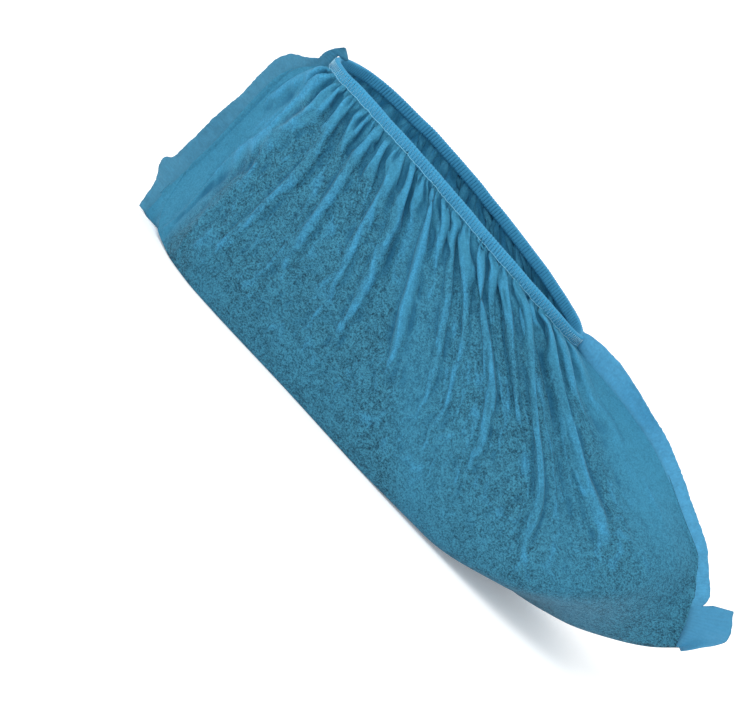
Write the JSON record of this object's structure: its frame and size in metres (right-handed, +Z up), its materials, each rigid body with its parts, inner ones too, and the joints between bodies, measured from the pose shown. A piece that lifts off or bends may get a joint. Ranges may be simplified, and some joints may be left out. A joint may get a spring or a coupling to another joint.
{
  "type": "disposable shoe cover",
  "caption": "Disposable non-woven shoe cover in its worn form, folded under the sole, welded up at heel and toe, with a gathered elastic hem round the ankle opening.",
  "frame": {"origin": "centre of the inner face of the sole, midway along the shoe that the cover takes", "axes": "+X to the toe, +Z up out of the ankle opening, +Y to the wearer's left"},
  "size_m": [0.354, 0.1045, 0.1261],
  "materials": {
    "non_woven": "matte, slightly translucent thin web",
    "gathered_edge": "matte, ribbed",
    "welded_edge": "matte, welded flat"
  },
  "bodies": {
    "root": {"cover_body": "non_woven", "elastic_hem": "gathered_edge", "toe_seam": "welded_edge", "heel_seam": "welded_edge"}
  },
  "joints": []
}
